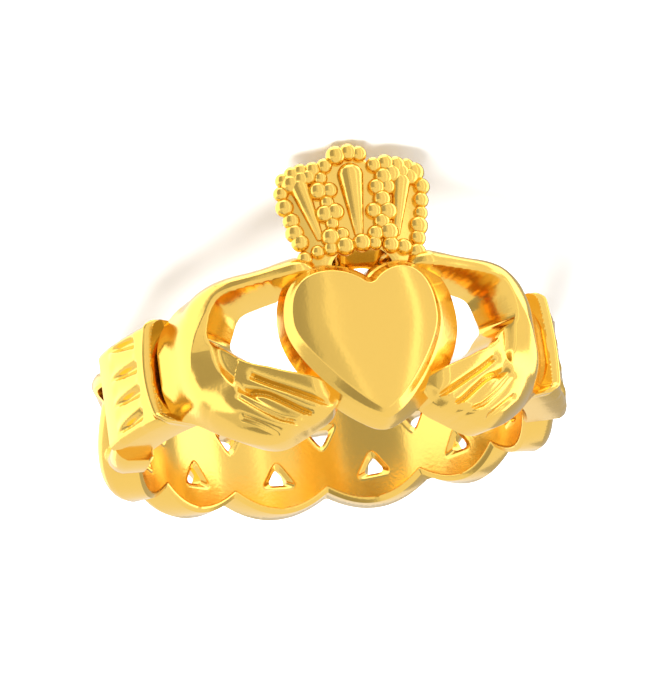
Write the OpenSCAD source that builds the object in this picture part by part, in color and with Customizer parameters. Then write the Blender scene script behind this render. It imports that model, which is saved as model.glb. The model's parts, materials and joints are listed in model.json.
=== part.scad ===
// A claddagh ring, one casting: two hands hold a crowned heart, and a pierced plait closes the band.
// It lies on its crown and on the far edge of the plait, as it would when put down.
// Angles are counted round the finger from the middle of the heart, positive to the right.
// Heights are counted along the finger from the middle of the band, positive towards the crown.

/* [Finger bore] */
// Diameter of the finger bore
bore_d = 19; // [17:0.1:21]

/* [Plait] */
// Wall of the plait, from the bore to the top of a strand
plait_wall = 2.1; // [1.7:0.05:2.3]
// Width of the plait over the crests of its wavy edges
plait_w = 5.9; // [5.2:0.1:6.4]
// Width of one strand
strand_w = 1.5; // [1.2:0.05:1.8]
// How far the strands drop where they pass below another
strand_dip = 0.35; // [0.15:0.05:0.5]
// Crests on one edge in a full turn
crests = 12; // [10:1:14]
// Turn of the plait round the finger, in degrees
plait_turn = 2.5; // [0:0.5:5]
// Wall of the plait beside its strands
plait_floor = 0.55; // [0.4:0.05:0.7]
// Length of a pierced triangle along the band
pierce_l = 1.45; // [1.1:0.05:1.7]
// Height of a pierced triangle across the band
pierce_h = 1.05; // [0.8:0.05:1.2]
// Width of a pierced triangle at its blunt point
pierce_point = 0.24; // [0.1:0.02:0.4]
// Length of the gap between a cuff and the first crossing of the strands
gap_l = 1.9; // [1.4:0.1:2.2]
// Height of that gap along the cuff
gap_h = 1.8; // [1.4:0.1:2]

/* [Cuffs] */
// Angle at which the turned-back rim of a cuff starts
rim_from = 58; // [57:0.5:60]
// Angle over which the rim reaches
rim_span = 4; // [3:0.5:5]
// Angle at which a cuff ends at the plait
cuff_to = 79.5; // [78:0.5:82]
// Width of a cuff across the band
cuff_w = 5.2; // [4.6:0.1:5.8]
// Shift of the cuffs towards the crown
cuff_shift = 0.25; // [0:0.05:0.4]
// Wall of a cuff at its ridges
cuff_wall = 2.2; // [2:0.05:2.5]
// Height of the rim over the ridges
rim_rise = 0.3; // [0.15:0.05:0.5]
// Chamfer along the edges of a cuff
cuff_lip = 0.3; // [0.15:0.05:0.4]
// Width of a groove between two ridges
groove_w = 0.42; // [0.3:0.02:0.5]
// Number of grooves on a cuff
grooves = 4; // [3:1:5]

/* [Hands] */
// Angle at which the fingertips reach under the heart
tips_at = 10; // [8:0.5:12]
// Angle at which a wrist ends in its cuff
wrist_at = 59; // [58:0.5:60]
// Reach of the thumb towards the crown
thumb_up = 4.1; // [3.7:0.05:4.4]
// Reach of the little finger away from the crown
finger_down = 4.8; // [4.4:0.05:5]
// Wall of a hand at its crest
hand_wall = 2.7; // [2.4:0.05:3]
// Wall of the hand along its rounded outer edge
hand_edge = 1.5; // [1.2:0.05:1.8]
// Wall of the fingers
finger_wall = 2.35; // [2.1:0.05:2.6]
// Drop of the palm below the crest, between the crest and the knuckles
palm_drop = 1; // [0.6:0.05:1.3]
// Width of a groove between two fingers
finger_groove = 0.44; // [0.3:0.02:0.6]
// Slope of the fingers across the band, in degrees
finger_slope = 34; // [28:1:40]
// Depth of a wrist below the ridges of its cuff
wrist_depth = 0.9; // [0.5:0.05:1.1]
// Width of the rounding along the outer edge of a hand
edge_round = 1.7; // [1.2:0.1:2.2]
// Width of the rounding along the outer edge of the fingers
finger_round = 1.1; // [0.8:0.1:1.4]
// Drop of the hand's crest where it meets the hollow
crest_drop = 0.25; // [0.1:0.05:0.4]
// Length over which the fingertips sink below the heart
tip_length = 2.2; // [1.6:0.1:2.8]
// Margin between the see-through window and the lines of the hand
window_margin = 0.1; // [0.05:0.05:0.2]

/* [Heart] */
// Half width of the heart's polished face
heart_half = 3.6; // [3.2:0.05:3.9]
// Height of the lobes over the middle of the band
heart_up = 3.05; // [2.8:0.05:3.3]
// Depth of the tip below the middle of the band
heart_down = 4.55; // [4.2:0.05:4.8]
// Depth of the cleft below the lobes
cleft = 0.55; // [0.3:0.05:0.9]
// Spread of the sloping side at the heart's widest place
heart_flare = 0.75; // [0.5:0.05:0.95]
// Reach of the sloping side above the lobes
heart_foot_up = 0.6; // [0.4:0.05:0.8]
// Reach of the sloping side below the tip
heart_foot_down = 0.2; // [0.1:0.05:0.4]
// Taper of the heart's back, as a share of the spread of the sloping side
heart_taper = 0.85; // [0.6:0.05:1]
// Height of the sloping side
heart_side = 0.9; // [0.6:0.05:1.2]
// Depth from the axis to the edge of the face
heart_edge = 11.55; // [11.2:0.05:11.9]
// Swell of the face over its edge
heart_swell = 0.75; // [0.4:0.05:1]

/* [Crown] */
// Height of the crown's foot over the middle of the band
crown_foot = 3.9; // [3.6:0.05:4.2]
// Height of the middle arch over the middle of the band
crown_top = 9.5; // [9:0.05:9.9]
// Half width of the crown at its foot
crown_foot_half = 2.95; // [2.6:0.05:3.2]
// Half width of the crown at its widest
crown_half = 3.75; // [3.4:0.05:4]
// Wall of the crown behind its ribs
crown_wall = 1.2; // [1:0.05:1.5]
// Clearance between the finger and the back of the crown
crown_back = 0.4; // [0.2:0.05:0.6]
// Width of the middle rib at its top
rib_w = 1.25; // [0.9:0.05:1.4]
// Diameter of a bead
bead_d = 0.72; // [0.6:0.02:0.8]
// Half width of the hollow under the crown's middle
hollow_half = 1.55; // [1.2:0.05:1.7]
// Height of the hollow's arch over the crown's lower edge
hollow_up = 1.1; // [0.9:0.05:1.2]
// How far the crown's lower edge reaches below its foot
crown_skirt = 0.6; // [0.5:0.05:0.7]

/* [Hidden] */
gold = "goldenrod";
$fn = 48;

bore_r = bore_d / 2;
root_depth = 0.5;
root_r = bore_r - root_depth;
plait_r = bore_r + plait_wall;
cuff_r = bore_r + cuff_wall;
crest_r = bore_r + hand_wall;
edge_r = bore_r + hand_edge;
finger_r = bore_r + finger_wall;
wrist_r = cuff_r - wrist_depth;
palm_r = crest_r - palm_drop;
crown_in_r = bore_r + crown_back;
crown_r = crown_in_r + crown_wall;
bead_r = bead_d / 2;

// The three strands of the plait swing across the band as a wave, one third of a turn apart.
strand_swing = (plait_w - strand_w) / 2;
strand_turns = crests / 3;
strand_round = 0.45;
plait_from = cuff_to - 2;
plait_to = 360 - plait_from;
plait_steps = 84;
half_turn = 180;
plait_middle = half_turn + plait_turn;
plait_rows = 10;

// Height of the middle of strand k at angle a
function phase(k, a) = strand_turns * (a - plait_middle) + 120 * k;
function strand_z(k, a) = -strand_swing * cos(phase(k, a));
// How far strand k lies on top there, from -1 for below to 1 for above
function strand_lift(k, a) = sin(2 * phase(k, a));
// Half height of a strand cut along the finger, wider where it runs at a slant
function strand_half(k, a) =
    strand_w / 2 * norm([1, strand_swing * strand_turns / plait_r * sin(phase(k, a))]);
// Outer radius of strand k, and the root radius beside it
function strand_r(k, a, z) =
    let (x = (z - strand_z(k, a)) / strand_half(k, a))
    abs(x) >= 1 ? root_r :
    plait_r - strand_dip * (1 - strand_lift(k, a)) / 2 - strand_round * strand_w * (1 - sqrt(1 - x * x));
function plait_surface(a, z) = max(bore_r + plait_floor, max([for (k = [0:2]) strand_r(k, a, z)]));
function plait_top(a) = max([for (k = [0:2]) strand_z(k, a) + strand_half(k, a)]);
function plait_bottom(a) = min([for (k = [0:2]) strand_z(k, a) - strand_half(k, a)]);

// Places a shape on the ring: at angle a, distance r from the axis and height z, its front outwards
module at(a, r, z) rotate([0, 0, a]) translate([0, -r, z]) children();

function polar(a, r, z) = [r * sin(a), -r * cos(a), z];
function mix(a, b, t) = a + (b - a) * t;

// A closed skin over a grid of columns and rows: outer[i][j] is the outer point of column i and row j,
// and the inner face spans the foot of each column at the root radius.
module skin(angles, lows, highs, outer, rows) {
    n = len(angles);
    m = rows + 1;
    function height(i, j) = lows[i] + (highs[i] - lows[i]) * j / rows;
    outside = [for (i = [0:n - 1]) for (j = [0:rows]) outer[i][j]];
    inside = [for (i = [0:n - 1]) for (j = [0:1]) polar(angles[i], root_r, height(i, j * rows))];
    k = n * m;
    faces = concat(
        [for (i = [0:n - 2]) for (j = [0:rows - 1]) [i * m + j, i * m + j + 1, (i + 1) * m + j]],
        [for (i = [0:n - 2]) for (j = [0:rows - 1]) [i * m + j + 1, (i + 1) * m + j + 1, (i + 1) * m + j]],
        [for (i = [0:n - 2]) [k + 2 * i, k + 2 * i + 2, k + 2 * i + 1]],
        [for (i = [0:n - 2]) [k + 2 * i + 1, k + 2 * i + 2, k + 2 * i + 3]],
        [for (i = [0:n - 2]) [i * m, (i + 1) * m, k + 2 * i]],
        [for (i = [0:n - 2]) [(i + 1) * m, k + 2 * i + 2, k + 2 * i]],
        [for (i = [0:n - 2]) [i * m + rows, k + 2 * i + 1, (i + 1) * m + rows]],
        [for (i = [0:n - 2]) [(i + 1) * m + rows, k + 2 * i + 1, k + 2 * i + 3]],
        [for (j = [0:rows - 1]) [j, k, j + 1]],
        [[rows, k, k + 1]],
        [for (j = [0:rows - 1]) [(n - 1) * m + j, (n - 1) * m + j + 1, k + 2 * (n - 1)]],
        [[(n - 1) * m + rows, k + 2 * (n - 1) + 1, k + 2 * (n - 1)]]
    );
    polyhedron(concat(outside, inside), faces);
}

plait_angles = [for (i = [0:plait_steps]) plait_from + (plait_to - plait_from) * i / plait_steps];
plait_lows = [for (a = plait_angles) plait_bottom(a)];
plait_highs = [for (a = plait_angles) plait_top(a)];
plait_outer = [for (i = [0:plait_steps]) [for (j = [0:plait_rows])
    let (z = mix(plait_lows[i], plait_highs[i], j / plait_rows), end = i == 0 || i == plait_steps)
    polar(plait_angles[i], end ? bore_r + plait_floor : plait_surface(plait_angles[i], z), z)]];

// Three flat strands crossing over and under, closed round the back of the finger
module plait() {
    difference() {
        skin(plait_angles, plait_lows, plait_highs, plait_outer, plait_rows);
        pierced(plait_middle, -1);
        pierced(plait_middle + half_turn / crests, 1);
        for (side = [0, 1])
            mirror([side, 0, 0])
                end_gap();
    }
}

// The see-through triangles of one row, which point to the other row
module pierced(middle, side) {
    pitch = 360 / crests;
    foot = strand_swing - strand_w / 2;
    for (k = [-4:4])
        if (abs(middle - half_turn + k * pitch) < half_turn - cuff_to - pitch / 5)
            at(middle + k * pitch, 0, 0)
                rotate([90, 0, 0])
                    linear_extrude(height = plait_r + 1)
                        polygon([
                            [-pierce_l / 2, side * foot],
                            [pierce_l / 2, side * foot],
                            [pierce_point / 2, side * (foot - pierce_h)],
                            [-pierce_point / 2, side * (foot - pierce_h)]
                        ]);
}

// The see-through gap where the strands leave a cuff
module end_gap() {
    foot = strand_swing - strand_w / 2;
    at(cuff_to, 0, 0)
        rotate([90, 0, 0])
            linear_extrude(height = plait_r + 1)
                polygon([[0, foot], [gap_l, foot], [0, foot - gap_h]]);
}

// A ridged sleeve with a turned-back rim towards the hand
module cuff() {
    low = cuff_shift - cuff_w / 2;
    high = cuff_shift + cuff_w / 2;
    pitch = cuff_w / grooves;
    overlap = 0.5;
    rotate([0, 0, rim_from - 90])
        rotate_extrude(angle = rim_span, $fn = 96)
            polygon([
                [root_r, low], [cuff_r - cuff_lip, low], [cuff_r + rim_rise, low + cuff_lip * 2],
                [cuff_r + rim_rise, high - cuff_lip * 2], [cuff_r - cuff_lip, high], [root_r, high]
            ]);
    rotate([0, 0, rim_from + rim_span - overlap - 90])
        rotate_extrude(angle = cuff_to - rim_from - rim_span + overlap, $fn = 96)
            difference() {
                polygon([
                    [root_r, low], [cuff_r - cuff_lip, low], [cuff_r, low + cuff_lip],
                    [cuff_r, high - cuff_lip], [cuff_r - cuff_lip, high], [root_r, high]
                ]);
                for (k = [0:grooves - 1])
                    translate([cuff_r + groove_w / 4, low + pitch * (k + 0.5)])
                        circle(d = groove_w * 1.6, $fn = 24);
            }
}

// Edges of a hand along its span: share of the span from the fingertips to the wrist,
// upper edge as a share of thumb_up, lower edge as a share of finger_down
HAND = [
    [0.00, 1.00, 0.72],
    [0.08, 1.00, 0.88],
    [0.18, 0.98, 0.96],
    [0.32, 0.92, 1.00],
    [0.43, 0.89, 0.97],
    [0.53, 0.87, 0.90],
    [0.67, 0.80, 0.74],
    [0.77, 0.71, 0.63],
    [0.87, 0.64, 0.53],
    [1.00, 0.58, 0.45]
];
// Edge of the hollow of the hand, from below the thumb round the palm to the little finger:
// share of the span, height as a share of thumb_up (above) or finger_down (below, negative)
HOLLOW = [
    [0.00, 0.72],
    [0.15, 0.70],
    [0.27, 0.68],
    [0.40, 0.65],
    [0.51, 0.57],
    [0.575, 0.42],
    [0.60, 0.20],
    [0.605, -0.05],
    [0.59, -0.18],
    [0.55, -0.31],
    [0.51, -0.44],
    [0.47, -0.58],
    [0.42, -0.73],
    [0.36, -0.84],
    [0.28, -0.92],
    [0.15, -1.00],
    [0.00, -1.05]
];
hand_steps = 34;
hand_rows = 20;
hand_span = wrist_at - tips_at;
hand_r = (crest_r + finger_r) / 2;

function share(a) = (a - tips_at) / hand_span;
function along(s) = (tips_at + s * hand_span) * PI / 180 * hand_r;
function reach(h) = h > 0 ? h * thumb_up : h * finger_down;
function hand_top(a) = thumb_up * lookup(share(a), [for (row = HAND) [row[0], row[1]]]);
function hand_bottom(a) = -finger_down * lookup(share(a), [for (row = HAND) [row[0], row[2]]]);

hollow_line = [for (row = HOLLOW) [along(row[0]), reach(row[1])]];
// Distance of point p from the stretch between q and r
function to_stretch(p, q, r) =
    let (d = r - q, t = max(0, min(1, (p - q) * d / (d * d))))
    norm(p - q - t * d);
function to_hollow(p) =
    min([for (i = [0:len(hollow_line) - 2]) to_stretch(p, hollow_line[i], hollow_line[i + 1])]);
// Whether the ray from p towards the wrist crosses the edge an odd number of times
function crossings(p) = len([for (i = [0:len(hollow_line) - 2])
    let (q = hollow_line[i], r = hollow_line[i + 1])
    if ((q[1] > p[1]) != (r[1] > p[1]) && p[0] < q[0] + (p[1] - q[1]) / (r[1] - q[1]) * (r[0] - q[0])) 1]);
// Signed distance from the edge of the hollow, negative inside it
function hollow_side(p) = (crossings(p) % 2 == 1 ? -1 : 1) * to_hollow(p);

function round_over(x) = sqrt(max(0, 1 - pow(1 - min(1, max(0, x)), 2)));
function step(x) = let (t = min(1, max(0, x))) t * t * (3 - 2 * t);

// Top edge of the first finger, which also bounds the see-through window
knuckle_share = 0.48;
knuckle_z = -0.15 * finger_down;
function finger_line(s) = knuckle_z - (along(knuckle_share) - s) * tan(finger_slope);

// Outer radius of a hand at angle a and height z
function hand_surface(a, z) =
    let (
        s = along(share(a)),
        side = hollow_side([s, z]),
        rim = min(z - hand_bottom(a), hand_top(a) - z),
        wrist = step((share(a) - 0.66) / 0.34),
        foot = mix(edge_r, wrist_r - crest_drop, wrist),
        body = foot + (mix(crest_r, wrist_r, wrist) - foot) * round_over(rim / edge_round)
            - crest_drop * (1 - round_over(side / (2 * crest_drop))),
        knuckle = step((along(knuckle_share + 0.03) - s) / finger_groove),
        tip = step((s - along(0)) / tip_length),
        fingers = mix(palm_r, mix(edge_r, finger_r, tip), knuckle),
        floor = min(fingers, edge_r + (finger_r - edge_r) * round_over(rim / finger_round))
    )
    mix(floor, body, step(side / crest_drop + 0.5));

// A hand with its thumb along the crown's side and four fingers under the heart
module hand() {
    angles = [for (i = [0:hand_steps]) tips_at + hand_span * i / hand_steps];
    lows = [for (a = angles) hand_bottom(a)];
    highs = [for (a = angles) hand_top(a)];
    outer = [for (i = [0:hand_steps]) [for (j = [0:hand_rows])
        let (z = lows[i] + (highs[i] - lows[i]) * j / hand_rows, end = i == 0 || i == hand_steps)
        polar(angles[i], end ? wrist_r : hand_surface(angles[i], z), z)]];
    difference() {
        skin(angles, lows, highs, outer, hand_rows);
        window();
        for (k = [0:2])
            finger_groove(k);
    }
}

// The see-through space between the thumb, the palm, the first finger and the heart
module window() {
    middle = tips_at + 0.38 * hand_span;
    centre = along(0.38);
    upper = [for (row = HOLLOW) if (row[0] > 0.1 && row[1] > -0.1)
        [along(row[0]) - centre, reach(row[1]) - window_margin]];
    lower = [
        [along(knuckle_share + 0.04) - centre, knuckle_z + finger_groove],
        [along(knuckle_share) - centre, knuckle_z + window_margin],
        [along(0.1) - centre, finger_line(along(0.1)) + window_margin]
    ];
    at(middle, 0, 0)
        rotate([90, 0, 0])
            linear_extrude(height = crest_r + 1)
                polygon(concat(upper, lower));
}

// The three grooves between the fingers: share of the hand's span, distance below the first
// finger's top edge as a share of finger_down, and half the groove's angle
GROOVES = [
    [0.25, 0.17, 11],
    [0.34, 0.41, 9],
    [0.42, 0.64, 7]
];

// A groove between two fingers: an arc round the finger, turned to the fingers' slope
module finger_groove(k) {
    s = along(GROOVES[k][0]);
    half = GROOVES[k][2];
    rotate([0, 0, degrees_at(s, hand_r)])
        translate([0, 0, finger_line(s) - GROOVES[k][1] * finger_down])
            rotate([0, -finger_slope, 0])
                rotate([0, 0, -90 - half])
                    rotate_extrude(angle = 2 * half, $fn = 96)
                        translate([finger_r + finger_groove / 5, 0])
                            circle(d = finger_groove, $fn = 16);
}

// Points of a curve with four guide points
function curve(p, n) = [for (i = [0:n - 1]) let (t = i / n, u = 1 - t)
    u * u * u * p[0] + 3 * u * u * t * p[1] + 3 * u * t * t * p[2] + t * t * t * p[3]];

// Outline of a heart as seen from the front, from the cleft down the right side and up the left
function heart_outline(half, up, down, dip, n) =
    let (
        waist = 0.2 * up,
        right = concat(
            curve([[0, up - dip], [0.28 * half, up + 0.12 * half],
                [half, up + 0.18 * half], [half, waist]], n),
            curve([[half, waist], [half, -0.28 * down], [0.25 * half, -down], [0, -down]], n)
        )
    )
    concat(right, [[0, -down]], [for (i = [len(right) - 1:-1:1]) [-right[i][0], right[i][1]]]);

heart_middle = -heart_down * 0.09;

// The heart: a sloping side and a swelling polished face
module heart() {
    n = 9;
    foot = heart_outline(heart_half + heart_flare, heart_up + heart_foot_up,
        heart_down + heart_foot_down, cleft, n);
    face = heart_outline(heart_half, heart_up, heart_down, cleft, n);
    back = [for (i = [0:len(face) - 1]) mix(foot[i], face[i], heart_taper)];
    count = len(face);
    rings = [
        [for (p = back) [p[0], -(root_r - 2 * root_depth), p[1]]],
        [for (p = foot) [p[0], -(heart_edge - heart_side), p[1]]],
        [for (p = face) [p[0], -heart_edge, p[1]]],
        [for (p = face) [p[0] * 0.86, -(heart_edge + heart_swell * 0.5), mix(p[1], heart_middle, 0.14)]],
        [for (p = face) [p[0] * 0.6, -(heart_edge + heart_swell * 0.86), mix(p[1], heart_middle, 0.4)]],
        [for (p = face) [p[0] * 0.3, -(heart_edge + heart_swell * 0.98), mix(p[1], heart_middle, 0.7)]]
    ];
    last = len(rings) - 1;
    faces = concat(
        [[for (i = [count - 1:-1:0]) i]],
        [for (r = [0:last - 1]) for (i = [0:count - 1]) let (j = (i + 1) % count)
            [r * count + i, r * count + j, (r + 1) * count + i]],
        [for (r = [0:last - 1]) for (i = [0:count - 1]) let (j = (i + 1) % count)
            [(r + 1) * count + i, r * count + j, (r + 1) * count + j]],
        [for (i = [0:count - 1]) [last * count + i, last * count + (i + 1) % count, (last + 1) * count]]
    );
    polyhedron(concat([for (r = rings) each r], [[0, -(heart_edge + heart_swell), heart_middle]]), faces);
}

function degrees_at(s, r) = s / r * 180 / PI;

// A smooth rib of the crown: a drop turned about its own length, widest at its rounded top
module rib(from, to, wide, narrow) {
    lean = atan2(to[0] - from[0], to[1] - from[1]);
    length = norm(to - from);
    neck = length - wide / 2;
    at(degrees_at(from[0], crown_r), crown_r - 0.05, from[1])
        rotate([0, lean, 90])
            rotate_extrude($fn = 32)
                polygon(concat(
                    [[0, 0], [narrow / 2, 0]],
                    [for (t = [0:15:75]) [wide / 2 * cos(t), neck + wide / 2 * sin(t)]],
                    [[0, length]]
                ));
}

// A bead on the crown's face at place p, across and up
module bead(p, size = 1)
    at(degrees_at(p[0], crown_r), crown_r, p[1])
        rotate([90, 0, 0])
            sphere(d = bead_d * size, $fn = 24);

// A row of beads along a line or a bow: the bow rises by swell in its middle
module bead_row(from, to, count, swell = 0)
    for (i = [0:count - 1])
        let (t = count > 1 ? i / (count - 1) : 0.5)
        bead(mix(from, to, t) + [0, swell * 4 * t * (1 - t)]);

// The outline of the crown: a fan with three arches along its top
crown_shoulder = mix(crown_foot, crown_top, 0.62);
crown_valley = mix(crown_foot, crown_top, 0.78);
function arch(from, to, height, n) =
    [for (i = [0:n]) let (t = i / n) mix(from, to, t) + [0, height * 4 * t * (1 - t)]];
fan_half = concat(
    [[crown_foot_half, crown_foot - crown_skirt], [crown_foot_half, crown_foot + crown_skirt]],
    [[crown_half, crown_shoulder]],
    arch([crown_half * 0.97, mix(crown_shoulder, crown_valley, 0.5)],
        [crown_half * 0.38, crown_valley], 0.45, 5)
);
crown_peak = crown_top - bead_r;
bead_pitch = 1.1 * bead_d;
bead_edge = bead_d / 5;
bead_sink = bead_d / 15;
base_z = crown_foot + bead_edge;
base_bow = 0.6 * bead_d;
field_x = 0.3 * crown_half;
field_z = crown_foot + 1.75 * bead_d;
field_lean = 0.025 * crown_half;
rib_foot = crown_foot + 1.1 * bead_d;
rib_rise = 0.05 * (crown_top - crown_foot);
side_rib = [0.52 * crown_half, 0.7 * crown_half];
side_rib_w = 0.62 * rib_w;

// A fan of three ribs between columns of beads, below a beaded edge
module crown() {
    middle_arch = arch([crown_half * 0.34, crown_valley], [-crown_half * 0.34, crown_valley],
        crown_peak - crown_valley, 8);
    left = [for (i = [len(fan_half) - 1:-1:0]) [-fan_half[i][0], fan_half[i][1]]];
    intersection() {
        rotate([90, 0, 0])
            linear_extrude(height = crown_r + 1)
                difference() {
                    polygon(concat(fan_half, middle_arch, left));
                    translate([0, crown_foot - crown_skirt])
                        scale([hollow_half, hollow_up])
                            circle(r = 1, $fn = 32);
                }
        difference() {
            cylinder(r = crown_r, h = crown_top + 1, $fn = 96);
            translate([0, 0, -1])
                cylinder(r = crown_in_r, h = crown_top + 3, $fn = 96);
        }
    }
    rib([0, rib_foot], [0, crown_valley + rib_rise], rib_w, rib_w * 0.4);
    for (side = [-1, 1])
        mirror([side < 0 ? 1 : 0, 0, 0]) {
            rib([side_rib[0], rib_foot], [side_rib[1], crown_valley - 2 * rib_rise],
                side_rib_w, side_rib_w * 0.5);
            for (row = [0:3])
                for (k = row % 2 == 0 ? [0] : [-0.5, 0.5])
                    bead([field_x + field_lean * row + k * bead_pitch, field_z + row * bead_pitch]);
            bead_row([crown_foot_half + bead_edge, crown_foot + 1.25 * bead_d],
                [crown_half - bead_edge, crown_shoulder - bead_edge], 4);
            bead_row([crown_half - 2 * bead_edge, crown_shoulder + bead_d],
                [crown_half * 0.52, crown_valley + bead_edge], 3, 0.25);
            bead_row([crown_half * 0.31, crown_valley + bead_edge],
                [bead_d, crown_peak - bead_edge * 1.5], 2);
        }
    bead_row([-crown_foot_half + bead_edge, base_z], [crown_foot_half - bead_edge, base_z], 8, base_bow);
    bead([0, crown_peak - bead_sink]);
}

// The ring with its axis along the height and the heart to the front
module upright() {
    difference() {
        union() {
            plait();
            for (side = [0, 1])
                mirror([side, 0, 0]) {
                    cuff();
                    hand();
                }
            heart();
            crown();
        }
        translate([0, 0, -crown_top])
            cylinder(r = bore_r, h = 3 * crown_top, $fn = 128);
    }
}

// At rest the ring lies on its crown: the bead on the middle arch and two crests of the plait
// touch the floor. The tilt is that of a line through a crest, drawn below the bead.
peak_bead = [0, -crown_r, crown_peak - bead_sink];
far_crest = [0, (bore_r + plait_floor) * cos(half_turn / crests - plait_turn), plait_w / 2];
span = [far_crest[1] - peak_bead[1], peak_bead[2] - far_crest[2]];
rest_tilt = atan2(span[1], span[0]) + asin(bead_r / norm(span));
// How far a point of the upright ring lies below the bore's middle, and how far behind it, at rest
function below(p) = p[1] * sin(rest_tilt) + p[2] * cos(rest_tilt);
function behind(p) = p[1] * cos(rest_tilt) - p[2] * sin(rest_tilt);
rest_height = max(below(peak_bead) + bead_r, max([for (column = plait_outer) for (p = column) below(p)]));
rest_front = behind(peak_bead) - bead_r;
rest_back = max([for (column = plait_outer) for (p = column) behind(p)]);

module ring()
    color(gold)
        translate([0, -(rest_front + rest_back) / 2, rest_height])
            rotate([-rest_tilt, 0, 0])
                rotate([0, 180, 0])
                    upright();

ring();
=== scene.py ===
# %% [markdown]
# # A claddagh ring in polished gold
# Two cuffed hands hold a crowned heart, and a pierced plait of three strands closes the band
# behind. The real ring is one casting, polished all over. Each of its forms is made here as a
# surface of its own, and the surfaces run into each other where the casting is one. The
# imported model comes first, because every piece takes its place and its bore from it.

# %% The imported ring
import json

import bpy
import numpy as np
from mathutils import Matrix, Vector


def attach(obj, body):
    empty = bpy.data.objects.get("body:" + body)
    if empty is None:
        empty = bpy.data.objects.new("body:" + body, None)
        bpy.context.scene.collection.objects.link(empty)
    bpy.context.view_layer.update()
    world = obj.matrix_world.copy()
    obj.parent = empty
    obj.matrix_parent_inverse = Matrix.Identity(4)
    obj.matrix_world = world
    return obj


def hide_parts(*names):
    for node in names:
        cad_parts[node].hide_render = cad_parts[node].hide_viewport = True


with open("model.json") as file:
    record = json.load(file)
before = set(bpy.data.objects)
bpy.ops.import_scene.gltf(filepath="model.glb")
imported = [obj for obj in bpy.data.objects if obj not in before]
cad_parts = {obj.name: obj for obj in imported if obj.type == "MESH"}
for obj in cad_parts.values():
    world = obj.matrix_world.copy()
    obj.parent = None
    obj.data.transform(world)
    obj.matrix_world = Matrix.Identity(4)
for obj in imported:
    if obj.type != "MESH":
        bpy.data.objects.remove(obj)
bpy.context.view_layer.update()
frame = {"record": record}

# %% [markdown]
# ## Two sets of axes
# A ring is easiest to think of upright: the finger runs along Z, the heart faces -Y, the
# crown is at the top. On the floor it lies on its crown instead. Each object could be turned
# there with its rotation, but a finished piece should have none, so that nothing slides when
# it is exported. So every shape is worked out upright and in millimetres, and one function
# lays its points down. The tilt isn't typed in: it is read from the bore's axis.

# %% From the upright ring to the floor
MM = 0.001
bore = frame["record"]["mounts"][0]
bore_r = bore["dims"]["r_mm"]
bore_middle = np.array(bore["pos_m"]) / MM
tilt = np.arctan2(bore["axis"][1], bore["axis"][2])


def lay_down(points):
    """Upright millimetres to the frame's metres: half a turn about Y puts the crown down,
    a turn by the tilt about X lays it on the floor, then the bore's middle is added."""
    x, y, z = np.moveaxis(np.asarray(points, float), -1, 0)
    back = y * np.cos(tilt) - z * np.sin(tilt)
    up = -y * np.sin(tilt) - z * np.cos(tilt)
    return (np.stack([-x, back, up], -1) + bore_middle) * MM


def on_ring(angle, radius, height):
    """The point at an angle from the heart's middle (degrees, positive to the right), at a
    radius from the finger's axis and at a height: (r sin a, -r cos a, z)."""
    a = np.radians(angle)
    return np.stack(np.broadcast_arrays(radius * np.sin(a), -radius * np.cos(a), height), -1)


print("bore radius", bore_r, "mm, tilt", round(float(np.degrees(tilt)), 2), "degrees")

# %% [markdown]
# ## The camera
# The photograph was taken from in front of the heart and a little below it, turned to the
# side. A camera could be tried out by hand in the viewport; here its angles were worked out
# from the ellipses that the round bore and band make in the picture. The camera stands at
# that place beside the upright ring, and the same function lays it down with the ring. The
# crown is down, so this camera looks down on the floor.

# %% Place and turn of the camera
yaw, pitch, roll = np.radians([13.77, 15.79, 8.26])
camera_distance = 200.5
photo_width, photo_height = 658, 675
pixels_per_mm = 20.214
# A place on the finger's axis, and the pixel of the photograph where it is seen.
ring_origin = np.array([0.0, 0.0, -1.0])
ring_origin_px = np.array([330.0, 422.4])

to_camera = np.array([
    -np.sin(yaw) * np.cos(pitch), -np.cos(yaw) * np.cos(pitch), -np.sin(pitch),
])
level = np.array([np.cos(yaw), -np.sin(yaw), 0.0])
rise = np.array([-np.sin(yaw) * np.sin(pitch), -np.cos(yaw) * np.sin(pitch), np.cos(pitch)])
picture_right = np.cos(roll) * level - np.sin(roll) * rise
picture_up = np.sin(roll) * level + np.cos(roll) * rise
right_px, down_px = np.array([photo_width / 2, photo_height / 2]) - ring_origin_px
aim = ring_origin + (right_px * picture_right - down_px * picture_up) / pixels_per_mm
print("the camera aims at", aim.round(2), "mm of the upright ring")


# %% Camera at the photograph's angle
def unit(way):
    """The same way with length 1."""
    return way / np.linalg.norm(way)


camera_place = lay_down(ring_origin + camera_distance * to_camera)
back_way = unit(camera_place - lay_down(aim))
right_way = unit(np.cross(lay_down(picture_up) - lay_down(np.zeros(3)), back_way))
up_way = np.cross(back_way, right_way)

lens = bpy.data.cameras.new("photo_camera")
lens.sensor_fit = "VERTICAL"
lens.sensor_height = 24.0
lens.lens = lens.sensor_height * pixels_per_mm * camera_distance / photo_height
lens.clip_start = 0.01
camera = bpy.data.objects.new("photo_camera", lens)
camera.matrix_world = Matrix.Translation(Vector(camera_place)) @ Matrix(
    np.stack([right_way, up_way, back_way], 1).tolist()
).to_4x4()
bpy.context.scene.collection.objects.link(camera)
bpy.context.scene.camera = camera
print("camera", camera_place.round(4), "lens", round(lens.lens, 1), "mm, looking down",
      round(float(np.degrees(np.arcsin(back_way[2]))), 1), "degrees")

# %% [markdown]
# ## Shells cut along a line
# Most pieces of the band are relief: over each point of the bore there is one height. Such a
# shape could be sculpted, or cut with booleans, but both leave ragged rims on polished metal.
# Here a piece is a height over a grid of angle and height along the finger, plus a number that
# says how far each point lies inside the metal. The rim, and every see-through hole, is the
# line where that number is zero, found in each cell as a contour line on a map is.

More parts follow.
